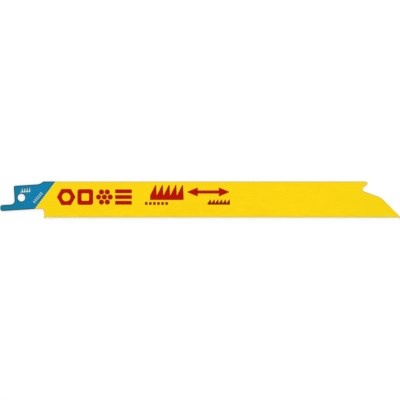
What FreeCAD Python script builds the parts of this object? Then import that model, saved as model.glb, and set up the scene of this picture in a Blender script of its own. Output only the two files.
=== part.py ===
import FreeCAD, Part
import math
import os
import Sketcher

# Reciprocating saw blade, in millimetres and degrees. The origin is the centre of the pin hole, halfway
# through the strip. +X runs to the tip, +Y from the teeth to the back and +Z out of the flat side.

SIZES = {
    # The strip
    "overall_length": 203.2,  # end of the prong to the tip, 8 in
    "thickness": 0.9,  # 0.035 in strip
    "edge_break": 0.15,  # small bevel on both rims
    # The tang
    "cant_angle": 3.6,  # the tang leans this far from the line of the back
    "tang_height": 12.4,
    "tang_end_distance": 3.5,  # pin hole centre to the tang's end edge
    "tang_corner_radius": 0.8,
    "pin_hole_diameter": 3.9,
    "prong_reach": 11.0,  # pin hole centre to the prong's end
    "prong_height": 3.07,
    "prong_end_radius": 1.2,
    "prong_root_radius": 2.0,
    "shoulder_rise": 1.98,  # back edge beyond half the tang's height, square up from the pin hole
    "shoulder_distance": 11.1,  # pin hole centre to the shoulder's corner on the back edge
    "shoulder_radius": 5.0,  # hollow curve from the tang up to the back
    "shoulder_corner_radius": 0.8,
    # The heel, where the toothed edge begins
    "relief_distance": 6.5,  # pin hole centre to where the tang's lower edge turns level
    "heel_distance": 11.52,  # pin hole centre to the heel's upright edge
    "heel_height": 4.68,  # that level edge down to the tooth points
    "heel_radius": 1.2,
    "heel_land": 1.98,  # the heel's upright edge to the first cutting face
    # The tip, with a nose, a notch and a slanted point
    "nose_angle": 37.0,  # underside of the nose, from the line of the back
    "nose_radius": 1.0,
    "notch_setback": 18.57,  # tip back to the centre of the notch
    "notch_drop": 3.96,  # back edge down to the centre of the notch
    "notch_radius": 1.1,
    "ramp_angle": 19.8,  # edge that runs down from the notch
    "knee_radius": 7.0,  # between that edge and the slanted point
    "point_angle": 45.0,
    "tip_flat": 0.28,  # blunt end of the point, up from the tooth line
    # The teeth, milled to cut on the pull, then set in waves to both sides
    "tooth_pitch": 1.4111,  # 18 teeth to the inch
    "gullet_depth": 0.68,
    "gullet_radius": 0.25,
    "tooth_land": 0.08,  # flat top of each tooth
    "last_tooth_width": 0.4,  # least metal between the last gullet and the slanted point
    "teeth_per_wave": 8,
    "set_depth": 1.9,  # tooth points up to the line where the set begins
    "set_amount": 0.225,  # how far the waves carry the tooth points out to each side
    "cutter_overrun": 1.0,  # how far the cutting profiles reach outside the strip
}

SECTIONS_PER_WAVE = 8
NEAR = 1e-4  # two points closer than this are one

document = FreeCAD.newDocument("saw_blade")
sheet = document.addObject("Spreadsheet::Sheet", "sizes")
for row, (alias, amount) in enumerate(SIZES.items(), start=1):
    sheet.set(f"A{row}", alias)
    sheet.set(f"B{row}", str(amount))
    sheet.setAlias(f"B{row}", alias)
document.recompute()

# Places that several features share, each worked out from the sizes. A drop is a depth below the pin hole.
BACK_RISE = "(sizes.tang_height / 2 + sizes.shoulder_rise)"
RELIEF_DROP = (
    "((sizes.tang_height / 2 - sizes.relief_distance * sin(sizes.cant_angle)) / cos(sizes.cant_angle))"
)
TOOTH_DROP = f"({RELIEF_DROP} + sizes.heel_height)"
BEND_DROP = f"({TOOTH_DROP} - sizes.set_depth)"
FIRST_FACE_DISTANCE = "(sizes.heel_distance + sizes.heel_land)"
# The round of the prong's upper end corner reaches furthest back, and the length is taken from there
PRONG_ROUND_REACH = "(sizes.prong_reach - sizes.prong_end_radius)"
PRONG_ROUND_DROP = "(sizes.tang_height / 2 - sizes.prong_height + sizes.prong_end_radius)"
REAR_REACH = (
    f"({PRONG_ROUND_REACH} * cos(sizes.cant_angle) - {PRONG_ROUND_DROP} * sin(sizes.cant_angle)"
    " + sizes.prong_end_radius)"
)
TIP_DISTANCE = f"(sizes.overall_length - {REAR_REACH})"
WAVE_LENGTH = "(sizes.teeth_per_wave * sizes.tooth_pitch)"
WAVE_COUNT = f"ceil(({TIP_DISTANCE} + sizes.cutter_overrun - sizes.heel_distance) / {WAVE_LENGTH})"
STOCK_DISTANCE = f"(sizes.heel_distance + {WAVE_COUNT} * {WAVE_LENGTH})"
LAST_GULLET_LIMIT = f"({TIP_DISTANCE} - sizes.gullet_depth - sizes.last_tooth_width)"
GULLET_COUNT = f"(floor(({LAST_GULLET_LIMIT} - {FIRST_FACE_DISTANCE}) / sizes.tooth_pitch) + 1)"


def amount_of(formula):
    return float(sheet.evalExpression(formula))


def size(alias):
    return amount_of(f"sizes.{alias}")


def polar(angle, distance=1.0):
    """The step of the given distance at the given angle from +X."""
    turn = math.radians(angle)
    return FreeCAD.Vector(distance * math.cos(turn), distance * math.sin(turn), 0)


def meeting_point(point_a, angle_a, point_b, angle_b):
    """Where the line through point_a crosses the line through point_b."""
    along_a, along_b = polar(angle_a), polar(angle_b)
    apart = point_b - point_a
    crossing = along_a.x * along_b.y - along_a.y * along_b.x
    return point_a + along_a * ((apart.x * along_b.y - apart.y * along_b.x) / crossing)


blade = document.addObject("PartDesign::Body", "blade")
blade.Label = "blade"
origin = {feature.Role: feature for feature in blade.Origin.OriginFeatures}


def new_sketch(name, plane):
    sketch = blade.newObject("Sketcher::SketchObject", name)
    sketch.AttachmentSupport = (origin[plane], [""])
    sketch.MapMode = "FlatFace"
    return sketch


def line(start, end):
    return Part.LineSegment(start, end), 1, 2


def arc(centre, start, end, turns_left):
    """An arc from start to end. A sketch stores every arc turning left, so its two ends may swap."""
    first, last = (start, end) if turns_left else (end, start)
    angles = [math.atan2(point.y - centre.y, point.x - centre.x) for point in (first, last)]
    circle = Part.Circle(centre, FreeCAD.Vector(0, 0, 1), (start - centre).Length)
    curve = Part.ArcOfCircle(circle, *angles)
    return (curve, 1, 2) if turns_left else (curve, 2, 1)


def pin_centre():
    """The pin hole's centre, by the numbers that a sketch has for its own origin."""
    return -1, 1


def start_of(piece):
    return piece, 1


def end_of(piece):
    return piece, 2


def centre_of(piece):
    return piece, 3


def draw_loop(sketch, pieces, tangent_after=()):
    """Draws the named pieces end to end, and returns the number that each has in the sketch."""
    names = list(pieces)
    ids = {name: sketch.addGeometry(pieces[name][0], False) for name in names}
    for before, after in zip(names, names[1:] + names[:1]):
        kind = "Tangent" if before in tangent_after else "Coincident"
        ends = ids[before], pieces[before][2], ids[after], pieces[after][1]
        sketch.addConstraint(Sketcher.Constraint(kind, *ends))
    return ids


def constrain(sketch, kind, *pieces):
    for piece in pieces:
        sketch.addConstraint(Sketcher.Constraint(kind, piece))


def dimension(sketch, name, formula, kind, *places):
    """Adds a dimension and ties it to its formula in the sheet's sizes."""
    amount = amount_of(formula)
    if kind == "Angle":
        amount = math.radians(amount)
    index = sketch.addConstraint(Sketcher.Constraint(kind, *places, amount))
    sketch.renameConstraint(index, name)
    sketch.setExpression(f"Constraints.{name}", formula)


def new_feature(kind, name, **settings):
    feature = blade.newObject(f"PartDesign::{kind}", name)
    for setting, chosen in settings.items():
        setattr(feature, setting, chosen)
    blade.Tip = feature
    return feature


def repeat(feature, name, spacing, count):
    """Repeats a feature along the blade."""
    pattern = new_feature("LinearPattern", name, Originals=[feature], Refine=False)
    pattern.Direction = (origin["X_Axis"], [""])
    pattern.setExpression("Length", f"{spacing} * ({count} - 1)")
    pattern.setExpression("Occurrences", count)
    document.recompute()
    return pattern


def draw_blank(sketch):
    """The outline of the blank before its tip is cut: tang, prong, shoulder, heel and plain strip."""
    cant = size("cant_angle")
    back_y = amount_of(BACK_RISE)
    bend_y = -amount_of(BEND_DROP)
    stock_x = amount_of(STOCK_DISTANCE)
    half_height = size("tang_height") / 2

    def in_tang(along, across):
        return polar(cant, along) + polar(cant + 90, across)

    shoulder = FreeCAD.Vector(size("shoulder_distance"), back_y, 0)
    # The shoulder's curve stands on the tang's top edge and passes through the corner on the back
    radius = size("shoulder_radius")
    along = shoulder.dot(polar(cant))
    below = half_height + radius - shoulder.dot(polar(cant + 90))
    curve_start = along - math.sqrt(radius**2 - below**2)
    curve_centre = in_tang(curve_start, half_height + radius)

    tang_end = -size("tang_end_distance")
    prong_end = -size("prong_reach")
    prong_top = size("prong_height") - half_height
    relief_start = FreeCAD.Vector(size("relief_distance"), -amount_of(RELIEF_DROP), 0)
    relief = FreeCAD.Vector(size("heel_distance"), relief_start.y, 0)
    corners = {
        "stock_top": FreeCAD.Vector(stock_x, back_y, 0),
        "shoulder": shoulder,
        "curve_start": in_tang(curve_start, half_height),
        "tang_top": in_tang(tang_end, half_height),
        "prong_root": in_tang(tang_end, prong_top),
        "prong_top": in_tang(prong_end, prong_top),
        "prong_bottom": in_tang(prong_end, -half_height),
        "relief_start": relief_start,
        "relief": relief,
        "heel": FreeCAD.Vector(relief.x, bend_y, 0),
        "stock_bottom": FreeCAD.Vector(stock_x, bend_y, 0),
    }
    ids = draw_loop(sketch, {
        "back": line(corners["stock_top"], corners["shoulder"]),
        "shoulder": arc(curve_centre, corners["shoulder"], corners["curve_start"], turns_left=False),
        "tang_top": line(corners["curve_start"], corners["tang_top"]),
        "tang_end": line(corners["tang_top"], corners["prong_root"]),
        "prong_top": line(corners["prong_root"], corners["prong_top"]),
        "prong_end": line(corners["prong_top"], corners["prong_bottom"]),
        "tang_bottom": line(corners["prong_bottom"], corners["relief_start"]),
        "relief": line(corners["relief_start"], corners["relief"]),
        "heel": line(corners["relief"], corners["heel"]),
        "bend": line(corners["heel"], corners["stock_bottom"]),
        "stock_end": line(corners["stock_bottom"], corners["stock_top"]),
    }, tangent_after=["shoulder"])

    constrain(sketch, "Horizontal", ids["back"], ids["relief"], ids["bend"])
    constrain(sketch, "Vertical", ids["heel"], ids["stock_end"])
    for piece in ("tang_top", "prong_top"):
        sketch.addConstraint(Sketcher.Constraint("Parallel", ids[piece], ids["tang_bottom"]))
    for piece in ("tang_end", "prong_end"):
        sketch.addConstraint(Sketcher.Constraint("Perpendicular", ids[piece], ids["tang_bottom"]))

    dimension(sketch, "cant", "sizes.cant_angle * 1 deg", "Angle", ids["tang_bottom"])
    half = "sizes.tang_height / 2"
    pin = pin_centre()
    dimension(sketch, "pin_to_tang_top", half, "Distance", *pin, ids["tang_top"])
    dimension(sketch, "pin_to_tang_bottom", half, "Distance", *pin, ids["tang_bottom"])
    dimension(sketch, "pin_to_tang_end", "sizes.tang_end_distance", "Distance", *pin, ids["tang_end"])
    dimension(sketch, "pin_to_prong_end", "sizes.prong_reach", "Distance", *pin, ids["prong_end"])
    dimension(sketch, "prong_height", "sizes.prong_height", "Distance", ids["prong_end"])
    dimension(sketch, "back_rise", BACK_RISE, "DistanceY", *pin, *start_of(ids["back"]))
    dimension(sketch, "shoulder_corner", "sizes.shoulder_distance", "DistanceX", *pin, *end_of(ids["back"]))
    dimension(sketch, "shoulder_curve", "sizes.shoulder_radius", "Radius", ids["shoulder"])
    dimension(sketch, "relief_start", "sizes.relief_distance", "DistanceX", *pin, *start_of(ids["relief"]))
    dimension(sketch, "heel_distance", "sizes.heel_distance", "DistanceX", *pin, *start_of(ids["heel"]))
    dimension(sketch, "bend_drop", BEND_DROP, "DistanceY", *start_of(ids["bend"]), *pin)
    dimension(sketch, "stock_distance", STOCK_DISTANCE, "DistanceX", *pin, *start_of(ids["stock_end"]))
    return corners


def draw_tip(sketch):
    """What is cut away at the tip: above the slanted point, into the notch and under the nose."""
    back_y = amount_of(BACK_RISE)
    tooth_y = -amount_of(TOOTH_DROP)
    tip_x = amount_of(TIP_DISTANCE)
    overrun = size("cutter_overrun")
    far_x = amount_of(STOCK_DISTANCE) + overrun
    nose, ramp, point = size("nose_angle"), size("ramp_angle"), size("point_angle")

    notch = FreeCAD.Vector(tip_x - size("notch_setback"), back_y - size("notch_drop"), 0)
    notch_start = notch + polar(nose + 90, size("notch_radius"))
    notch_end = notch - polar(90 - ramp, size("notch_radius"))
    nose_corner = meeting_point(notch_start, nose, FreeCAD.Vector(0, back_y, 0), 0)
    nose_start = nose_corner + polar(nose, overrun / math.sin(math.radians(nose)))

    flat_top = FreeCAD.Vector(tip_x, tooth_y + size("tip_flat"), 0)
    knee_corner = meeting_point(notch_end, -ramp, flat_top, -point)
    # The knee's arc touches both edges at the same distance from the corner where they would meet
    knee_radius = size("knee_radius")
    reach = knee_radius * math.tan(math.radians(point - ramp) / 2)
    knee_start = knee_corner - polar(-ramp, reach)
    knee_end = knee_corner + polar(-point, reach)
    knee_centre = knee_start - polar(90 - ramp, knee_radius)

    flat_end = FreeCAD.Vector(tip_x, tooth_y - overrun, 0)
    far_bottom = FreeCAD.Vector(far_x, tooth_y - overrun, 0)
    far_top = FreeCAD.Vector(far_x, back_y + overrun, 0)
    ids = draw_loop(sketch, {
        "nose_underside": line(nose_start, notch_start),
        "notch": arc(notch, notch_start, notch_end, turns_left=True),
        "ramp": line(notch_end, knee_start),
        "knee": arc(knee_centre, knee_start, knee_end, turns_left=False),
        "point": line(knee_end, flat_top),
        "flat": line(flat_top, flat_end),
        "bottom": line(flat_end, far_bottom),
        "far_side": line(far_bottom, far_top),
        "top": line(far_top, nose_start),
    }, tangent_after=["nose_underside", "notch", "ramp", "knee"])

    constrain(sketch, "Vertical", ids["flat"], ids["far_side"])
    constrain(sketch, "Horizontal", ids["bottom"], ids["top"])
    dimension(sketch, "nose_angle", "(sizes.nose_angle - 180) * 1 deg", "Angle", ids["nose_underside"])
    dimension(sketch, "ramp_angle", "-sizes.ramp_angle * 1 deg", "Angle", ids["ramp"])
    dimension(sketch, "point_angle", "-sizes.point_angle * 1 deg", "Angle", ids["point"])
    dimension(sketch, "notch_radius", "sizes.notch_radius", "Radius", ids["notch"])
    dimension(sketch, "knee_radius", "sizes.knee_radius", "Radius", ids["knee"])
    pin = pin_centre()
    dimension(sketch, "notch_distance", f"{TIP_DISTANCE} - sizes.notch_setback",
              "DistanceX", *pin, *centre_of(ids["notch"]))
    dimension(sketch, "notch_drop", "sizes.notch_drop + sizes.cutter_overrun",
              "DistanceY", *centre_of(ids["notch"]), *start_of(ids["top"]))
    dimension(sketch, "tip_distance", TIP_DISTANCE, "DistanceX", *pin, *start_of(ids["flat"]))
    dimension(sketch, "flat_drop", f"{TOOTH_DROP} - sizes.tip_flat",
              "DistanceY", *start_of(ids["flat"]), *pin)
    dimension(sketch, "flat_length", "sizes.tip_flat + sizes.cutter_overrun", "Distance", ids["flat"])
    dimension(sketch, "far_distance", f"{STOCK_DISTANCE} + sizes.cutter_overrun",
              "DistanceX", *pin, *start_of(ids["far_side"]))
    dimension(sketch, "top_rise", f"{BACK_RISE} + sizes.cutter_overrun",
              "DistanceY", *pin, *start_of(ids["top"]))
    return nose_corner


def draw_pin_circle(sketch):
    circle = Part.Circle(FreeCAD.Vector(0, 0, 0), FreeCAD.Vector(0, 0, 1), size("pin_hole_diameter") / 2)
    number = sketch.addGeometry(circle, False)
    sketch.addConstraint(Sketcher.Constraint("Coincident", *centre_of(number), *pin_centre()))
    dimension(sketch, "diameter", "sizes.pin_hole_diameter", "Diameter", number)


def draw_gullet(sketch):
    """The space ahead of the first tooth: its cutting face, the round root and the slope behind."""
    face_x = amount_of(FIRST_FACE_DISTANCE)
    tooth_y = -amount_of(TOOTH_DROP)
    outside_y = tooth_y - size("cutter_overrun")
    radius = size("gullet_radius")
    slope_start = FreeCAD.Vector(face_x - size("tooth_pitch") + size("tooth_land"), tooth_y, 0)
    root = FreeCAD.Vector(face_x - radius, tooth_y + size("gullet_depth") - radius, 0)
    to_root = root - slope_start
    slope = math.degrees(math.atan2(to_root.y, to_root.x) + math.asin(radius / to_root.Length))
    face_top = FreeCAD.Vector(face_x, root.y, 0)
    slope_end = root + polar(slope + 90, radius)
    face_bottom = FreeCAD.Vector(face_x, outside_y, 0)
    side_bottom = FreeCAD.Vector(slope_start.x, outside_y, 0)
    ids = draw_loop(sketch, {
        "face": line(face_bottom, face_top),
        "root": arc(root, face_top, slope_end, turns_left=True),
        "slope": line(slope_end, slope_start),
        "side": line(slope_start, side_bottom),
        "bottom": line(side_bottom, face_bottom),
    }, tangent_after=["face", "root"])

    constrain(sketch, "Vertical", ids["face"], ids["side"])
    constrain(sketch, "Horizontal", ids["bottom"])
    pin = pin_centre()
    dimension(sketch, "root_radius", "sizes.gullet_radius", "Radius", ids["root"])
    dimension(sketch, "root_drop", f"{TOOTH_DROP} - sizes.gullet_depth + sizes.gullet_radius",
              "DistanceY", *centre_of(ids["root"]), *pin)
    dimension(sketch, "face_distance", FIRST_FACE_DISTANCE, "DistanceX", *pin, *start_of(ids["face"]))
    dimension(sketch, "mouth", "sizes.tooth_pitch - sizes.tooth_land", "Distance", ids["bottom"])
    dimension(sketch, "side_drop", TOOTH_DROP, "DistanceY", *start_of(ids["side"]), *pin)
    dimension(sketch, "side_length", "sizes.cutter_overrun", "Distance", ids["side"])


def draw_wave_section(number):
    """One cross-section of the set band, square on to the blade's length."""
    turn = 360 * number / SECTIONS_PER_WAVE
    lean = f"atan(sizes.set_amount * sin({turn}) / sizes.set_depth)"
    section = new_sketch(f"wave_section_{number}", "YZ_Plane")
    section.setExpression("AttachmentOffset.Base.z",
                          f"sizes.heel_distance + {WAVE_LENGTH} * {number} / {SECTIONS_PER_WAVE}")
    tooth_y, bend_y = -amount_of(TOOTH_DROP), -amount_of(BEND_DROP)
    half = size("thickness") / 2
    shift = size("set_amount") * math.sin(math.radians(turn))
    bend_lower, bend_upper = FreeCAD.Vector(bend_y, -half, 0), FreeCAD.Vector(bend_y, half, 0)
    tooth_lower = FreeCAD.Vector(tooth_y, shift - half, 0)
    tooth_upper = FreeCAD.Vector(tooth_y, shift + half, 0)
    ids = draw_loop(section, {
        "lower_face": line(bend_lower, tooth_lower),
        "tooth_line": line(tooth_lower, tooth_upper),
        "upper_face": line(tooth_upper, bend_upper),
        "bend_line": line(bend_upper, bend_lower),
    })
    constrain(section, "Vertical", ids["tooth_line"], ids["bend_line"])
    section.addConstraint(Sketcher.Constraint("Parallel", ids["lower_face"], ids["upper_face"]))
    dimension(section, "lean", f"-{lean}", "Angle", ids["upper_face"])
    pin = pin_centre()
    dimension(section, "tooth_drop", TOOTH_DROP, "DistanceX", *start_of(ids["tooth_line"]), *pin)
    dimension(section, "bend_drop", BEND_DROP, "DistanceX", *start_of(ids["bend_line"]), *pin)
    dimension(section, "thickness", "sizes.thickness", "Distance", ids["bend_line"])
    dimension(section, "half", "sizes.thickness / 2", "DistanceY", *pin, *start_of(ids["bend_line"]))
    return section


def edges_where(shape, wanted):
    """The names of the edges whose ends and middle all pass the test."""
    names = []
    for number, edge in enumerate(shape.Edges, start=1):
        first, last = edge.FirstParameter, edge.LastParameter
        if all(wanted(edge.valueAt(place)) for place in (first, (first + last) / 2, last)):
            names.append(f"Edge{number}")
    return names


def over(corner):
    """A test for points on the upright line through a corner of the outline."""
    return lambda point: math.hypot(point.x - corner.x, point.y - corner.y) < NEAR


def round_corners(name, corners, radius):
    upright = [edge for corner in corners for edge in edges_where(blade.Tip.Shape, over(corner))]
    rounding = new_feature("Fillet", name, Base=(blade.Tip, upright))
    rounding.setExpression("Radius", f"sizes.{radius}")
    document.recompute()


def cut_through(name, profile):
    """Cuts the profile through the whole thickness, and makes sure that it took metal away."""
    before = blade.Tip.Shape.Volume
    cut = new_feature("Pocket", name, Profile=profile, Type="ThroughAll", SideType="Symmetric")
    document.recompute()
    if not cut.Shape.Volume < before:
        raise RuntimeError(f"{name} cuts nothing")
    return cut


# The blank is punched from plain strip, as far down as the line where the set begins
blank_outline = new_sketch("blank_outline", "XY_Plane")
corner = draw_blank(blank_outline)
blank = new_feature("Pad", "blank", Profile=blank_outline, SideType="Symmetric")
blank.setExpression("Length", "sizes.thickness")
document.recompute()
round_corners("tang_corner", [corner["tang_top"]], "tang_corner_radius")
round_corners("prong_end", [corner["prong_top"], corner["prong_bottom"]], "prong_end_radius")
round_corners("prong_root", [corner["prong_root"]], "prong_root_radius")
round_corners("shoulder_corner", [corner["shoulder"]], "shoulder_corner_radius")
round_corners("heel_corner", [corner["relief"]], "heel_radius")

# The tip: a nose over a notch, and a point that slants down to the teeth
tip_outline = new_sketch("tip_outline", "XY_Plane")
nose_corner = draw_tip(tip_outline)
document.recompute()
cut_through("tip", tip_outline)
round_corners("nose", [nose_corner], "nose_radius")

# Both rims of the blank are broken, apart from the line that the toothed band continues from
faces_z = size("thickness") / 2
bend_y = -amount_of(BEND_DROP)
rims = edges_where(blade.Tip.Shape, lambda point: abs(abs(point.z) - faces_z) < NEAR)
bend_edges = edges_where(blade.Tip.Shape, lambda point: abs(point.y - bend_y) < NEAR)
broken_edges = new_feature(
    "Chamfer", "broken_edges", Base=(blade.Tip, [edge for edge in rims if edge not in bend_edges]))
broken_edges.setExpression("Size", "sizes.edge_break")
document.recompute()

pin_circle = new_sketch("pin_circle", "XY_Plane")
draw_pin_circle(pin_circle)
document.recompute()
cut_through("pin_hole", pin_circle)

# The toothed band sways to both sides of the strip, wave after wave, and ends at the same point
sections = [draw_wave_section(number) for number in range(SECTIONS_PER_WAVE + 1)]
document.recompute()
wave = new_feature(
    "AdditiveLoft", "wave", Profile=sections[0], Sections=[(section, [""]) for section in sections[1:]])
document.recompute()
repeat(wave, "waves", WAVE_LENGTH, WAVE_COUNT)
cut_through("point_of_band", tip_outline)

# The teeth are milled square across the band, so each one leans with its own stretch of the wave
gullet_outline = new_sketch("gullet_outline", "XY_Plane")
draw_gullet(gullet_outline)
document.recompute()
gullet = cut_through("gullet", gullet_outline)
repeat(gullet, "teeth", "sizes.tooth_pitch", GULLET_COUNT)

for item in document.Objects:
    if "Invalid" in item.State or "Error" in item.State:
        raise RuntimeError(f"{item.Name} failed: {item.State}")
if blade.Shape.isNull() or not blade.Shape.isValid() or len(blade.Shape.Solids) != 1:
    raise RuntimeError("the blade isn't one sound solid")

os.makedirs("parts", exist_ok=True)
blade.Shape.exportStep(f"parts/{blade.Label}.step")
print(f"blade: {blade.Shape.Volume:.1f} mm3, {len(blade.Shape.Faces)} faces")
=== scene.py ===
from math import atan2, cos, degrees, radians, sin

import bpy
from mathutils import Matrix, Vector


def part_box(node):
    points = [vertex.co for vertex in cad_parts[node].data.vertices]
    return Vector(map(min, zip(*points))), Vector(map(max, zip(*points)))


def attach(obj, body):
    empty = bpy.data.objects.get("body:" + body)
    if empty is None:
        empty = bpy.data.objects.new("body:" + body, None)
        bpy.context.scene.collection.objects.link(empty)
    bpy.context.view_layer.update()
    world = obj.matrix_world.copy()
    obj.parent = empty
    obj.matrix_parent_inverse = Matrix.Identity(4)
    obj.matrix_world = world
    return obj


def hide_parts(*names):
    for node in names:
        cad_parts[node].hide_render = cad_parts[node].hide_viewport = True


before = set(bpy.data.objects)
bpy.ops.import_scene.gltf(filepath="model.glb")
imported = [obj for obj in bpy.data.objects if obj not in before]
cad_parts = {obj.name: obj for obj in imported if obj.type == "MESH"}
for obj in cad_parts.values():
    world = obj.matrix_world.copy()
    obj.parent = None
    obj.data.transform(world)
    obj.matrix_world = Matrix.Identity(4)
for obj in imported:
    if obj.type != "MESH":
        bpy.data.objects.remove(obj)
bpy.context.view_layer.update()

mm = 0.001                       # the scene is in metres and the sizes below in millimetres
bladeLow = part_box("blade")[0]
scene = bpy.context.scene

near = 0.001 * mm                # places closer than this are one
squareOn = 0.999                 # a face looks a way when this much of its normal lies along it
flatWithin = 0.05                # degrees between faces that count as one plane


# selecting, editing and copying

def deselectAll():
    if bpy.context.mode != "OBJECT":
        bpy.ops.object.mode_set(mode="OBJECT")
    bpy.ops.object.select_all(action="DESELECT")


def pick(piece):
    deselectAll()
    piece.select_set(True)
    bpy.context.view_layer.objects.active = piece


def openPiece(piece, kind, wanted):
    # opens the piece in edit mode with only the wanted faces or edges selected
    pick(piece)
    scene.tool_settings.mesh_select_mode = (False, kind == "edges", kind == "faces")
    mesh = piece.data
    for part in (*mesh.vertices, *mesh.edges, *mesh.polygons):
        part.select = False
    for part in mesh.edges if kind == "edges" else mesh.polygons:
        part.select = wanted(part)
    bpy.ops.object.mode_set(mode="EDIT")


def editFaces(piece, wanted):
    openPiece(piece, "faces", wanted)


def editEdges(piece, wanted):
    # an edge is judged by itself and the places of its two ends
    openPiece(piece, "edges", lambda edge: wanted(
        edge, *(piece.data.vertices[end].co for end in edge.vertices)))


def closePiece():
    bpy.ops.object.mode_set(mode="OBJECT")


def settle(piece):
    # puts the place, turn and scale into the mesh, so the object is at the origin
    pick(piece)
    bpy.ops.object.transform_apply(location=True, rotation=True, scale=True)
    return piece


def applyModifier(piece, kind, **settings):
    pick(piece)
    modifier = piece.modifiers.new(kind.lower(), kind)
    for name, value in settings.items():
        setattr(modifier, name, value)
    bpy.ops.object.modifier_apply(modifier=modifier.name)


def flattenPlanes(piece):
    # faces in one plane become one
    editFaces(piece, lambda face: True)
    bpy.ops.mesh.dissolve_limited(angle_limit=radians(flatWithin))
    closePiece()


def repeatPiece(piece, steps):
    # copies of the piece, each this far from it, joined in its stead
    copies = []
    for x, y in steps:
        copied = piece.copy()
        copied.data = piece.data.copy()
        scene.collection.objects.link(copied)
        copied.location = (x * mm, y * mm, 0)
        copies.append(settle(copied))
    bpy.data.objects.remove(piece, do_unlink=True)
    pick(copies[0])
    for copied in copies[1:]:
        copied.select_set(True)
    bpy.ops.object.join()
    return copies[0]


# camera, straight above the printed side

cameraLook = {
    "over": (90.5, -1.206),      # the point on the blade that it looks down on
    "frameWidth": 202.7,         # what the picture spans
    "lens": 120,
    "sensor": 36,
    "nearest": 10,               # it sees nothing closer than this
}


def placeCamera(look):
    x, y = look["over"]
    height = look["frameWidth"] * look["lens"] / look["sensor"]
    bpy.ops.object.camera_add(location=(x * mm, y * mm, height * mm), rotation=(0, 0, 0))
    camera = bpy.context.object
    camera.data.lens = look["lens"]
    camera.data.sensor_width = look["sensor"]
    camera.data.clip_start = look["nearest"] * mm
    scene.camera = camera


placeCamera(cameraLook)
scene.view_settings.view_transform = "Standard"


# softboxes to the sides, so that the flat face throws no glare up at the camera

lampLook = {
    "keySoftbox": {"at": (-300, 620, 640), "watts": 5.6, "tint": (1.0, 0.99, 0.97)},
    "fillSoftbox": {"at": (620, -420, 560), "watts": 3.8, "tint": (0.97, 0.985, 1.0)},
}
lampSize = 700
lampAim = (91, -1, 0)            # the middle of the blade


def placeLamp(name, look):
    at = Vector(look["at"]) * mm
    bpy.ops.object.light_add(type="AREA", location=at)
    lamp = bpy.context.object
    lamp.name = name
    lamp.data.shape = "SQUARE"
    lamp.data.size = lampSize * mm
    lamp.data.energy = look["watts"]
    lamp.data.color = look["tint"]
    lamp.rotation_euler = (Vector(lampAim) * mm - at).to_track_quat("-Z", "Y").to_euler()


for lampName, look in lampLook.items():
    placeLamp(lampName, look)
print("camera and lamps are up")


# node helpers

def addNode(tree, kind, at, **settings):
    node = tree.nodes.new(kind)
    node.location = at
    for name, value in settings.items():
        setattr(node, name, value)
    return node


def plug(tree, socket, source):
    # links another socket, or sets a plain value
    if isinstance(source, bpy.types.NodeSocket):
        tree.links.new(source, socket)
    else:
        socket.default_value = source


def feed(tree, node, **sources):
    # the same by the names of sockets, with _ for a space
    for name, source in sources.items():
        plug(tree, node.inputs[name.replace("_", " ")], source)


def maths(tree, at, operation, first, second, clamp=False):
    node = addNode(tree, "ShaderNodeMath", at, operation=operation, use_clamp=clamp)
    plug(tree, node.inputs[0], first)
    plug(tree, node.inputs[1], second)
    return node.outputs[0]


def remap(tree, at, value, fromLow, fromHigh, toLow=0.0, toHigh=1.0, curve="SMOOTHSTEP"):
    node = addNode(tree, "ShaderNodeMapRange", at, interpolation_type=curve)
    feed(tree, node, Value=value, From_Min=fromLow, From_Max=fromHigh, To_Min=toLow, To_Max=toHigh)
    return node.outputs["Result"]


def mixColour(tree, at, factor, first, second):
    node = addNode(tree, "ShaderNodeMix", at, data_type="RGBA")
    colours = [socket for socket in node.inputs if socket.type == "RGBA"]
    for socket, source in zip([node.inputs[0]] + colours, (factor, first, second)):
        plug(tree, socket, source)
    return [socket for socket in node.outputs if socket.type == "RGBA"][0]


def placeOn(tree, at):
    return addNode(tree, "ShaderNodeTexCoord", at).outputs["Object"]


def placeNoise(tree, at, look):
    # noise on the piece, turning "scale" times a millimetre, longer where "stretch" is under 1.
    # With "shows" it comes out as a mask, from where it is nothing to where it is full.
    mapping = addNode(tree, "ShaderNodeMapping", (at[0] - 400, at[1]))
    feed(tree, mapping, Vector=placeOn(tree, (at[0] - 600, at[1])),
         Scale=[look["scale"] * share / mm for share in look.get("stretch", (1, 1, 1))])
    noise = addNode(tree, "ShaderNodeTexNoise", (at[0] - 200, at[1]))
    feed(tree, noise, Vector=mapping.outputs["Vector"], Scale=1.0, Detail=look["detail"],
         Roughness=look.get("roughness", 0.5))
    if "shows" in look:
        return remap(tree, at, noise.outputs["Fac"], *look["shows"])
    return noise.outputs["Fac"]


def newGroup(name, inputs, outputs):
    tree = bpy.data.node_groups.new(name, "ShaderNodeTree")
    for label, value in inputs.items():
        kind = "NodeSocketColor" if isinstance(value, tuple) else "NodeSocketFloat"
        socket = tree.interface.new_socket(name=label, in_out="INPUT", socket_type=kind)
        socket.default_value = value
    for label, kind in outputs.items():
        tree.interface.new_socket(name=label, in_out="OUTPUT", socket_type="NodeSocket" + kind)
    given = addNode(tree, "NodeGroupInput", (-900, 0)).outputs
    made = addNode(tree, "NodeGroupOutput", (900, 0)).inputs
    return tree, given, made


def placeGroup(tree, group, at, **sources):
    node = addNode(tree, "ShaderNodeGroup", at, node_tree=group)
    feed(tree, node, **sources)
    return node.outputs


# a coat is never quite one colour: broad clouds, a fine fleck and the steel's lengthwise grain

driftLook = {
    "Clouds": {"scale": 0.035, "stretch": (1, 2, 1), "detail": 3, "shows": (0.35, 0.75)},
    "Fleck": {"scale": 3.2, "detail": 3, "roughness": 0.6, "shows": (0.4, 0.75)},
    "Grain": {"scale": 6.0, "stretch": (0.035, 1, 1), "detail": 3, "roughness": 0.6,
              "shows": (0.4, 0.75)},
}


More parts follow.
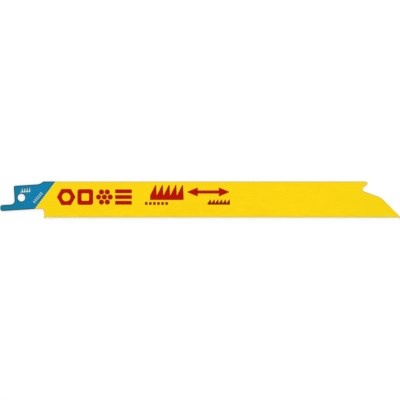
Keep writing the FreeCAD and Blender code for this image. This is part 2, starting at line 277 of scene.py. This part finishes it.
def makeColourDrift(look):
    tree, given, made = newGroup(
        "colourDrift",
        {"Color": (0.8, 0.8, 0.8, 1), "Deeper": (0.7, 0.7, 0.7, 1), "Clouds": 0.2, "Fleck": 0.5,
         "Grain": 0.5},
        {"Color": "Color"})
    amount = 0.0
    for row, (name, pattern) in enumerate(look.items()):
        height = 300 - 300 * row
        mask = placeNoise(tree, (-300, height), pattern)
        share = maths(tree, (0, height), "MULTIPLY", mask, given[name])
        amount = maths(tree, (200, height), "ADD", amount, share, clamp=True)
    plug(tree, made["Color"], mixColour(tree, (500, 0), amount, given["Color"], given["Deeper"]))
    return tree


# the skin of sprayed strip: orange peel over faint lines left lengthwise by rolling and grinding

skinLook = {
    "peel": {"scale": 1.7, "detail": 1.5, "roughness": 0.45},
    "lines": {"scale": 5.0, "stretch": (0.03, 1, 1), "detail": 3, "roughness": 0.6},
    "bumpStrength": 0.8,
}


def makeSheetSkin(look):
    tree, given, made = newGroup("sheetSkin", {"Peel": 0.5, "Lines": 0.4},
                                 {"Height": "Float", "Lines": "Float"})
    peel = placeNoise(tree, (-300, 200), look["peel"])
    lines = placeNoise(tree, (-300, -200), look["lines"])
    peelShare = maths(tree, (0, 200), "MULTIPLY", peel, given["Peel"])
    lineShare = maths(tree, (0, -200), "MULTIPLY", lines, given["Lines"])
    plug(tree, made["Height"], maths(tree, (300, 0), "ADD", peelShare, lineShare))
    plug(tree, made["Lines"], lines)
    return tree


# darker paint at the rims, where Rim is 1, fading inwards with a broken edge: painted shade of the
# rounded edges, together with paint that is thinner there

rimShadeAndWearLook = {
    "breaks": {"scale": 1.1, "detail": 4, "roughness": 0.6},
    "breaksMiddle": 0.5,
    "raggedFrom": 0.25,          # the edge grows ragged up to this rim value, from a clean face
}


def makeRimShadeAndWear(look):
    tree, given, made = newGroup(
        "rimShadeAndWear", {"Rim": 0.0, "Start": 0.2, "Full": 0.9, "Breakup": 0.3}, {"Mask": "Float"})
    breaks = placeNoise(tree, (-500, -200), look["breaks"])
    centred = maths(tree, (-250, -200), "SUBTRACT", breaks, look["breaksMiddle"])
    nearRim = remap(tree, (-250, -400), given["Rim"], 0.0, look["raggedFrom"])
    ragged = maths(tree, (-50, -200), "MULTIPLY", centred, given["Breakup"])
    ragged = maths(tree, (100, -300), "MULTIPLY", ragged, nearRim)
    edge = maths(tree, (250, 0), "ADD", given["Rim"], ragged)
    plug(tree, made["Mask"], remap(tree, (450, 0), edge, given["Start"], given["Full"]))
    return tree


# a few pale grains of dust and filings lying on the coat, in patches

dustLook = {
    "grains": {"scale": 4.5, "detail": 1, "shows": (0.74, 0.80)},
    "patches": {"scale": 0.12, "detail": 2, "shows": (0.42, 0.62)},
    "colour": (0.82, 0.80, 0.70, 1),
}


def makeFineDust(look):
    tree, given, made = newGroup("fineDust", {"Amount": 0.3}, {"Mask": "Float"})
    grains = placeNoise(tree, (-200, 100), look["grains"])
    patches = placeNoise(tree, (-200, -200), look["patches"])
    both = maths(tree, (100, 0), "MULTIPLY", grains, patches)
    plug(tree, made["Mask"], maths(tree, (300, 0), "MULTIPLY", both, given["Amount"]))
    return tree


colourDrift = makeColourDrift(driftLook)
sheetSkin = makeSheetSkin(skinLook)
rimShadeAndWear = makeRimShadeAndWear(rimShadeAndWearLook)
fineDust = makeFineDust(dustLook)


# what every paint and ink is mixed from

def newMaterial(name, specular=0.1):
    material = bpy.data.materials.new(name)
    material.use_nodes = True
    tree = material.node_tree
    tree.nodes.clear()
    shader = addNode(tree, "ShaderNodeBsdfPrincipled", (900, 0))
    output = addNode(tree, "ShaderNodeOutputMaterial", (1200, 0))
    plug(tree, output.inputs["Surface"], shader.outputs["BSDF"])
    feed(tree, shader, Specular_IOR_Level=specular)
    return material, tree, shader


def driftOf(tree, at, shades, drift):
    return placeGroup(tree, colourDrift, at, Color=shades["colour"], Deeper=shades["deeper"],
                      **drift)["Color"]


def addDust(tree, shader, colour, amount):
    mask = placeGroup(tree, fineDust, (300, -50), Amount=amount)["Mask"]
    feed(tree, shader, Base_Color=mixColour(tree, (600, 200), mask, colour, dustLook["colour"]))


def addSkin(tree, shader, look):
    # bumps the coat, and gives back the lines in its skin
    skin = placeGroup(tree, sheetSkin, (300, -300), **look["skin"])
    bump = addNode(tree, "ShaderNodeBump", (600, -400))
    feed(tree, bump, Strength=skinLook["bumpStrength"], Distance=look["bumpDepth"] * mm,
         Height=skin["Height"])
    feed(tree, shader, Normal=bump.outputs["Normal"])
    return skin["Lines"]


# the slanted line between the tang's blue and the blade's yellow

paintLine = {
    "back": (17.25, 8.17),       # where it meets the back edge
    "heel": (6.68, -5.77),       # and the lower edge
    "seam": (0.55, 0.165),       # how far from it the pale seam begins, and where it is full
}


def lineAcross(line):
    # the paint line's unit normal, which points to the blade, and how far along it the line lies
    dx = line["back"][0] - line["heel"][0]
    dy = line["back"][1] - line["heel"][1]
    normal = Vector((dy, -dx, 0)).normalized()
    return normal, normal.dot(Vector((*line["back"], 0)))


acrossNormal, acrossReach = lineAcross(paintLine)


# yellow enamel on the whole blade and blue on its tang, both darker at the rims with painted edge
# shade and thinner paint

enamelLook = {
    "dust": 0.35,
    "skin": {"Peel": 0.6, "Lines": 0.35},
    "bumpDepth": 0.04,
    "satinLines": (0.2, 0.8),    # of the skin's lines, over which the roughness runs
    "roughness": (0.36, 0.48),
}
yellowLook = {
    "colour": (0.978, 0.688, 0.0, 1),
    "deeper": (0.87, 0.56, 0.0, 1),
    "drift": {"Clouds": 0.15, "Fleck": 0.5, "Grain": 0.4},
    "tip": (0.89, 0.635, 0.0, 1),
    "tipShade": (150, 185),      # where it gets a touch deeper towards the tip
    "tipShare": 0.8,
    "seam": (0.66, 0.78, 0.13, 1),
    # olive over the teeth: painted shade of the gullets and the set, together with thinner paint
    "teeth": (0.63, 0.61, 0.05, 1),
    "teethShade": (1.4, 0.6),    # where it turns olive, up from the tooth points: painted shade of the gullets and the set, with thinner paint
    "teethShare": 0.55,
    # the rim turns darker: painted shade of the rounded edges, together with thinner paint
    "rimShaded": (0.60, 0.52, 0.075, 1),
    "rimShading": {"Start": 0.05, "Full": 0.95, "Breakup": 0.5},
    "rimShadeShare": 0.7,
}
blueLook = {
    "colour": (0.0, 0.218, 0.443, 1),
    "deeper": (0.0, 0.165, 0.35, 1),
    "drift": {"Clouds": 0.2, "Fleck": 0.5, "Grain": 0.4},
    "prong": (0.0, 0.195, 0.31, 1),
    "prongShade": (8, -9),       # where it gets greener towards the prong
    "prongShare": 0.8,
    # the rim turns a darker teal: painted shade of the rounded edges, together with thinner paint
    "rimShaded": (0.008, 0.105, 0.130, 1),
    "rimShading": {"Start": 0.0, "Full": 0.55, "Breakup": 0.45},
    "rimShadeShare": 0.9,
}


def axesOf(tree, at, place):
    apart = addNode(tree, "ShaderNodeSeparateXYZ", at)
    feed(tree, apart, Vector=place)
    return apart.outputs


def shadeTo(tree, at, coat, colour, along, ends, share=1.0):
    # turns the coat to another colour between two places along a direction
    mask = remap(tree, (at[0] - 200, at[1] - 250), along, ends[0] * mm, ends[1] * mm, 0.0, share)
    return mixColour(tree, at, mask, coat, colour)


def finishEnamel(tree, shader, coat, look):
    # what both coats share: painted shade and thinner paint at the rims, dust, skin and satin
    rim = addNode(tree, "ShaderNodeAttribute", (-350, -100), attribute_name="rim").outputs["Fac"]
    rimShading = placeGroup(tree, rimShadeAndWear, (-100, -100), Rim=rim, **look["rimShading"])["Mask"]
    rimShadeMask = maths(tree, (100, -100), "MULTIPLY", rimShading, look["rimShadeShare"])
    rimShaded = mixColour(tree, (300, 200), rimShadeMask, coat, look["rimShaded"])
    addDust(tree, shader, rimShaded, enamelLook["dust"])
    lines = addSkin(tree, shader, enamelLook)
    feed(tree, shader, Roughness=remap(tree, (600, -150), lines, *enamelLook["satinLines"],
                                       *enamelLook["roughness"], curve="LINEAR"))


def makeYellowPaint(look, line):
    material, tree, shader = newMaterial("yellowPaint")
    place = placeOn(tree, (-1700, 0))
    axes = axesOf(tree, (-1500, 0), place)
    coat = driftOf(tree, (-900, 200), look, look["drift"])
    coat = shadeTo(tree, (-600, 200), coat, look["tip"], axes["X"], look["tipShade"],
                   look["tipShare"])
    # a pale line where the two paints meet
    across = addNode(tree, "ShaderNodeVectorMath", (-1200, -300), operation="DOT_PRODUCT")
    plug(tree, across.inputs[0], place)
    plug(tree, across.inputs[1], acrossNormal)
    offLine = maths(tree, (-1000, -300), "SUBTRACT", across.outputs["Value"], acrossReach * mm)
    coat = shadeTo(tree, (-350, 200), coat, look["seam"], offLine, line["seam"])
    # the coat turns olive over the teeth: painted shade of the gullets and the set, with the paint
    # thinner there
    teethEnds = [bladeLow.y / mm + above for above in look["teethShade"]]
    coat = shadeTo(tree, (-100, 200), coat, look["teeth"], axes["Y"], teethEnds,
                   look["teethShare"])
    finishEnamel(tree, shader, coat, look)
    return material


def makeBluePaint(look):
    material, tree, shader = newMaterial("bluePaint")
    axes = axesOf(tree, (-1100, 0), placeOn(tree, (-1300, 0)))
    coat = driftOf(tree, (-600, 200), look, look["drift"])
    coat = shadeTo(tree, (-200, 200), coat, look["prong"], axes["X"], look["prongShade"],
                   look["prongShare"])
    finishEnamel(tree, shader, coat, look)
    return material


yellowPaint = makeYellowPaint(yellowLook, paintLine)
bluePaint = makeBluePaint(blueLook)
print("paints are mixed")


# the strip and the tang's second coat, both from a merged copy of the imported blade

stripLook = {
    "halfThickness": 0.45,
    "sideWithin": 0.002,         # how near a flat side a face has to lie to be part of it
    "setDepth": 1.9,             # the band along the teeth that the set bends
    "setMargin": 0.03,           # how far above the bend the painted rim shade of that band begins
    "rimWidth": 0.6,             # how far the painted rim shade and thinner paint reach in from the outline
    "bandRim": 0.5,              # its share at the tooth points
    "smoothBelow": 30,           # degrees
    "coatThickness": 0.035,      # of the blue over the yellow
}


def mergedCopy(name):
    copied = bpy.data.objects.new(name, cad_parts["blade"].data.copy())
    scene.collection.objects.link(copied)
    copied.data.materials.clear()
    editFaces(copied, lambda face: True)
    bpy.ops.mesh.customdata_custom_splitnormals_clear()
    bpy.ops.mesh.remove_doubles(threshold=near)
    closePiece()
    flattenPlanes(copied)
    return copied


def openEdges(mesh):
    # the edges that only one face uses
    uses = {}
    for face in mesh.polygons:
        for key in face.edge_keys:
            uses[key] = uses.get(key, 0) + 1
    return {key for key, count in uses.items() if count == 1}


def addRim(piece, look):
    # a ring round both flat sides, and the attribute rim: 1 on the outline, 0 inside the ring
    bendLine = bladeLow.y + look["setDepth"] * mm

    def onFlatSide(face):
        offSide = abs(abs(face.center.z) - look["halfThickness"] * mm)
        return offSide < look["sideWithin"] * mm and face.center.y > bendLine

    editFaces(piece, onFlatSide)
    bpy.ops.mesh.inset(thickness=look["rimWidth"] * mm, depth=0, use_even_offset=True)
    closePiece()
    rim = piece.data.attributes.new("rim", "FLOAT", "POINT")
    for vertex in piece.data.vertices:
        value = 0.0 if vertex.select else 1.0
        below = bendLine + look["setMargin"] * mm - vertex.co.y
        if below > 0:
            # along the bent band the painted rim shade grows from the bend to the tooth points
            value *= look["bandRim"] * below / (look["setDepth"] * mm)
        rim.data[vertex.index].value = value
    # the faces inside the ring are made anew, because the inset folds some of the long ones
    bpy.ops.object.mode_set(mode="EDIT")
    bpy.ops.mesh.delete(type="FACE")
    closePiece()
    for way in (-1, 1):
        loops = openEdges(piece.data)
        editEdges(piece, lambda edge, start, end: edge.key in loops and start.z * way > 0)
        bpy.ops.mesh.fill(use_beauty=True)
        closePiece()


def smooth(piece, angle):
    pick(piece)
    bpy.ops.object.shade_smooth_by_angle(angle=radians(angle))


def makeStrip(look):
    strip = mergedCopy("bladeStrip")
    addRim(strip, look)
    strip.data.materials.append(yellowPaint)
    smooth(strip, look["smoothBelow"])
    return strip


def makeTangCoat(look):
    coat = mergedCopy("tangCoat")
    editFaces(coat, lambda face: True)
    bpy.ops.mesh.bisect(plane_co=acrossNormal * acrossReach * mm, plane_no=acrossNormal,
                        clear_outer=True, use_fill=True)
    closePiece()
    addRim(coat, look)
    # the coat is open where it ends, until it gets its thickness
    editFaces(coat, lambda face: face.normal.dot(acrossNormal) > squareOn)
    bpy.ops.mesh.delete(type="FACE")
    closePiece()
    coat.data.materials.append(bluePaint)
    applyModifier(coat, "SOLIDIFY", thickness=look["coatThickness"] * mm, offset=1.0,
                  use_even_offset=True)
    smooth(coat, look["smoothBelow"])
    return coat


strip = makeStrip(stripLook)
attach(strip, "root")
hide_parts("blade")
tangCoat = makeTangCoat(stripLook)
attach(tangCoat, "root")
print("strip and tang coat are painted")


# inks, duller than the enamel

inkLook = {
    "red": {"colour": (0.53, 0.002, 0.0, 1), "deeper": (0.42, 0.001, 0.0, 1)},
    "redEdge": {"colour": (0.29, 0.008, 0.0, 1), "deeper": (0.23, 0.006, 0.0, 1)},
    "pale": {"colour": (0.66, 0.80, 0.56, 1), "deeper": (0.56, 0.71, 0.50, 1)},
    "drift": {"Clouds": 0.2, "Fleck": 0.8, "Grain": 0.3},
    "dust": 0.3,
    "skin": {"Peel": 0.8, "Lines": 0.2},
    "bumpDepth": 0.015,
    "roughness": 0.5,
    "specular": 0.06,
}


def makeInk(name, shades, look):
    material, tree, shader = newMaterial(name, look["specular"])
    feed(tree, shader, Roughness=look["roughness"])
    addDust(tree, shader, driftOf(tree, (-300, 200), shades, look["drift"]), look["dust"])
    addSkin(tree, shader, look)
    return material


redInk = makeInk("redInk", inkLook["red"], inkLook)
redEdgeInk = makeInk("redEdgeInk", inkLook["redEdge"], inkLook)
paleInk = makeInk("paleInk", inkLook["pale"], inkLook)


# printed marks: thin films of ink on the front, each a closed shape sunk a little in the paint

inkFilm = {
    "rise": 0.03,
    "sink": 0.02,
    "edgeLine": 0.24,            # of darker ink round the red marks
    "shoulder": 0.03,            # how far a mark runs on while its width steps up or down
}
frontFace = stripLook["halfThickness"]
coatFace = frontFace + stripLook["coatThickness"]


def filmHeight(face):
    # the middle and the thickness of a film on that face
    return face + (inkFilm["rise"] - inkFilm["sink"]) / 2, inkFilm["rise"] + inkFilm["sink"]


def filmBlock(x, y, width, height, turn=0.0, face=frontFace):
    middle, thick = filmHeight(face)
    bpy.ops.mesh.primitive_cube_add(size=1, location=(x * mm, y * mm, middle * mm),
                                    rotation=(0, 0, radians(turn)),
                                    scale=(width * mm, height * mm, thick * mm))
    return settle(bpy.context.object)


def filmDisc(x, y, radius, corners, turn=0.0):
    middle, thick = filmHeight(frontFace)
    bpy.ops.mesh.primitive_cylinder_add(vertices=corners, radius=radius * mm, depth=thick * mm,
                                        location=(x * mm, y * mm, middle * mm),
                                        rotation=(0, 0, radians(turn)))
    return settle(bpy.context.object)


def roundCorners(piece, radius, steps):
    # bevels the edges that stand upright
    editEdges(piece, lambda edge, start, end: (start.xy - end.xy).length < near)
    bpy.ops.mesh.bevel(offset=radius * mm, segments=steps, affect="EDGES")
    closePiece()
    return piece


def cutOut(piece, cutter):
    applyModifier(piece, "BOOLEAN", operation="DIFFERENCE", solver="EXACT", object=cutter)
    bpy.data.objects.remove(cutter, do_unlink=True)
    return piece


def stretchEnd(dx, dy, widths, about):
    # runs the selected end of a mark on, and then changes its width about a point
    bpy.ops.mesh.extrude_region_move(TRANSFORM_OT_translate={"value": (dx * mm, dy * mm, 0)})
    bpy.ops.transform.resize(value=(*widths, 1), center_override=about)


def printIn(piece, name, fill, edge=None):
    # names a mark, draws its darker edge line and fills it
    piece.name = name
    flattenPlanes(piece)
    piece.data.materials.clear()
    piece.data.materials.append(edge or fill)
    if edge is not None:
        piece.data.materials.append(fill)
        editFaces(piece, lambda face: face.normal.z > squareOn)
        bpy.ops.mesh.inset(thickness=inkFilm["edgeLine"] * mm, depth=0, use_even_offset=True)
        piece.active_material_index = 1
        bpy.ops.object.material_slot_assign()
        closePiece()
    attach(piece, "root")


# the large mark: four profiles that the blade cuts

profileLook = {"left": 18.5, "right": 56.0, "middleY": 0.3, "across": 8.5}

# their parts, as shares of the width across a profile
nutShares = {"size": 0.97, "hole": 0.5}
tubeShares = {"size": 0.94, "corner": 0.14, "bore": 0.44, "boreCorner": 0.06}
rodShares = {"apart": 1.04 / 3, "size": 0.94 / 3}
plateShares = {"apart": 0.34, "height": 0.23}
plateCorner = 0.35


def printNut(x, y, across):
    acrossCorners = across * nutShares["size"] / cos(radians(30))
    nut = filmDisc(x, y, acrossCorners / 2, 6, turn=30)
    return cutOut(nut, filmDisc(x, y, across * nutShares["hole"] / 2, 32))


def printSquareTube(x, y, across):
    outside, corner, bore, boreCorner = (across * share for share in tubeShares.values())
    tube = roundCorners(filmBlock(x, y, outside, outside), corner, 4)
    return cutOut(tube, roundCorners(filmBlock(x, y, bore, bore), boreCorner, 4))


def printRodBundle(x, y, across):
    # one rod in the middle and six round it
    apart = across * rodShares["apart"]
    ring = [(apart * cos(radians(turn)), apart * sin(radians(turn))) for turn in range(0, 360, 60)]
    rod = filmDisc(x, y, across * rodShares["size"] / 2, 20)
    return repeatPiece(rod, [(0, 0), *ring])


def printPlates(x, y, across):
    plate = filmBlock(x, y, across, across * plateShares["height"])
    apart = across * plateShares["apart"]
    return repeatPiece(roundCorners(plate, plateCorner, 3), [(0, -apart), (0, 0), (0, apart)])


def printProfiles(look):
    makers = {"markNut": printNut, "markTube": printSquareTube, "markRods": printRodBundle,
              "markPlates": printPlates}
    step = (look["right"] - look["left"] - look["across"]) / (len(makers) - 1)
    for number, (name, maker) in enumerate(makers.items()):
        x = look["left"] + look["across"] / 2 + number * step
        printIn(maker(x, look["middleY"], look["across"]), name, redInk, redEdgeInk)


printProfiles(profileLook)


# rows of raked teeth on a bar

toothMarks = {
    "markTeeth": {"left": 65.2, "base": -1.2, "pitch": 3.4, "count": 5, "bar": 2.3, "rise": 5.3},
    "markSmallTeeth": {"left": 94.3, "base": -3.6, "pitch": 1.9, "count": 6, "bar": 0.75,
                       "rise": 1.9},
    "markTangTeeth": {"left": -0.4, "base": 2.6, "pitch": 1.25, "count": 4, "bar": 0.34,
                      "rise": 1.7, "foot": 0.5, "turn": 3.6, "face": coatFace},
}
toothPoint = {"along": 0.9, "width": 0.12}       # shares of the pitch and of the tooth's foot


def shapeTooth(look, face):
    # one tooth on its length of bar
    pitch, top = look["pitch"], look["base"] + look["bar"]
    tooth = filmBlock(look["left"] + pitch / 2, look["base"] + look["bar"] / 2, pitch, look["bar"],
                      face=face)
    point = Vector((look["left"] + pitch * toothPoint["along"], top + look["rise"], face)) * mm
    editFaces(tooth, lambda side: side.normal.y > squareOn)
    if "foot" in look:
        # a narrower foot leaves bare bar between the teeth
        stretchEnd(0, inkFilm["shoulder"], (look["foot"], 1), point)
    stretchEnd(0, look["rise"], (toothPoint["width"], 1), point)
    closePiece()
    return tooth


def printToothRow(look):
    # the bar is opened at both ends of a tooth, so that the array merges into one closed row
    face = look.get("face", frontFace)
    tooth = shapeTooth(look, face)
    ends = (look["left"] * mm, (look["left"] + look["pitch"]) * mm)
    top = (look["base"] + look["bar"]) * mm

    def isBarEnd(side):
        atEnd = min(abs(side.center.x - end) for end in ends) < near
        return atEnd and abs(side.normal.x) > squareOn and side.center.y < top

    editFaces(tooth, isBarEnd)
    bpy.ops.mesh.delete(type="FACE")
    closePiece()
    applyModifier(tooth, "ARRAY", count=look["count"], use_relative_offset=False,
                  use_constant_offset=True, constant_offset_displace=(look["pitch"] * mm, 0, 0),
                  use_merge_vertices=True, merge_threshold=near)
    editEdges(tooth, lambda edge, start, end: False)
    bpy.ops.mesh.select_non_manifold()
    bpy.ops.mesh.fill_holes(sides=8)
    bpy.ops.mesh.select_all(action="SELECT")
    bpy.ops.mesh.normals_make_consistent(inside=False)
    if "turn" in look:
        bpy.ops.transform.rotate(value=radians(-look["turn"]), orient_axis="Z",
                                 center_override=(ends[0], look["base"] * mm, face * mm))
    closePiece()
    return tooth


printIn(printToothRow(toothMarks["markTeeth"]), "markTeeth", redInk, redEdgeInk)
printIn(printToothRow(toothMarks["markSmallTeeth"]), "markSmallTeeth", redEdgeInk)
printIn(printToothRow(toothMarks["markTangTeeth"]), "markTangTeeth", paleInk)


# a double arrow for the stroke

strokeLook = {
    "left": 84.2,
    "right": 105.2,
    "middleY": 2.85,
    "shaft": 1.6,
    "head": 4.6,
    "headLength": 5.2,
    "point": 0.085,              # the blunt tip's share of the head, wide enough for the edge line
}


def printStrokeArrow(look):
    left, right = look["left"] + look["headLength"], look["right"] - look["headLength"]
    arrow = filmBlock((left + right) / 2, look["middleY"], right - left, look["shaft"])
    for way, x in ((-1, left), (1, right)):
        neck = Vector((x, look["middleY"], frontFace)) * mm
        editFaces(arrow, lambda side: side.normal.x * way > squareOn
                  and abs(side.center.x - neck.x) < near)
        stretchEnd(way * inkFilm["shoulder"], 0, (1, look["head"] / look["shaft"]), neck)
        stretchEnd(way * look["headLength"], 0, (1, look["point"]), neck)
        closePiece()
    return arrow


printIn(printStrokeArrow(strokeLook), "markStroke", redInk, redEdgeInk)


# rows of short dashes

dashMarks = {
    "markDashes": {"start": (63.3, -2.95), "end": (73.6, -2.95), "count": 6, "size": (1.35, 1.5),
                   "ink": redEdgeInk, "slot": "red_ink", "face": frontFace},
    "markTangDashes": {"start": (6.6, -2.2), "end": (10.2, 2.15), "count": 6,
                       "size": (0.36, 1.35), "ink": paleInk, "slot": "pale_ink",
                       "face": coatFace},
}
dashCorner = 0.2                 # as a share of a dash's shorter side


def printDashRow(look):
    reach = Vector(look["end"]) - Vector(look["start"])
    dash = filmBlock(*look["start"], *look["size"], turn=degrees(atan2(reach.y, reach.x)),
                     face=look["face"])
    roundCorners(dash, min(look["size"]) * dashCorner, 2)
    gaps = look["count"] - 1
    return repeatPiece(dash, [reach * number / gaps for number in range(look["count"])])


for markName, look in dashMarks.items():
    printIn(printDashRow(look), markName, look["ink"])
print("marks are printed")


# floor and world

stageLook = {
    "floorSize": 3000,
    "floorMiddle": (91, 0),
    "floorGap": 0.005,                   # below the lowest point of the blade
    "floorRoughness": 0.9,
    "paper": (0.3, 0.3, 0.3, 1),         # the lit floor
    "glow": 0.72,                        # lifts it to white where it is seen, and leaves the shadow
    "glowColour": (1.0, 1.0, 1.0, 1),
    "worldSeen": (1.0, 1.0, 1.0, 1),
    "worldLit": (0.42, 0.42, 0.42, 1),
}


def seenDirectly(tree, at):
    # 1 for the camera, a reflection or a see-through ray
    path = addNode(tree, "ShaderNodeLightPath", at)
    both = maths(tree, (at[0] + 200, at[1]), "MAXIMUM", path.outputs["Is Camera Ray"],
                 path.outputs["Is Glossy Ray"])
    return maths(tree, (at[0] + 400, at[1]), "MAXIMUM", both, path.outputs["Is Transmission Ray"])


def layFloor(look):
    x, y = look["floorMiddle"]
    bpy.ops.mesh.primitive_plane_add(size=look["floorSize"] * mm,
                                     location=(x * mm, y * mm, bladeLow.z - look["floorGap"] * mm))
    floor = settle(bpy.context.object)
    floor.name = "paperFloor"
    material, tree, shader = newMaterial("paperFloor", specular=0.0)
    glow = maths(tree, (300, -200), "MULTIPLY", seenDirectly(tree, (-600, 0)), look["glow"])
    feed(tree, shader, Base_Color=look["paper"], Roughness=look["floorRoughness"],
         Emission_Color=look["glowColour"], Emission_Strength=glow)
    floor.data.materials.append(material)


def lightWorld(look):
    world = bpy.data.worlds.new("whiteRoom")
    scene.world = world
    world.use_nodes = True
    tree = world.node_tree
    tree.nodes.clear()
    background = addNode(tree, "ShaderNodeBackground", (300, 0))
    output = addNode(tree, "ShaderNodeOutputWorld", (600, 0))
    feed(tree, background, Color=mixColour(tree, (100, 0), seenDirectly(tree, (-600, 0)),
                                           look["worldLit"], look["worldSeen"]))
    plug(tree, output.inputs["Surface"], background.outputs["Background"])


layFloor(stageLook)
lightWorld(stageLook)
print("floor and world are in")

deselectAll()
bpy.context.view_layer.update()
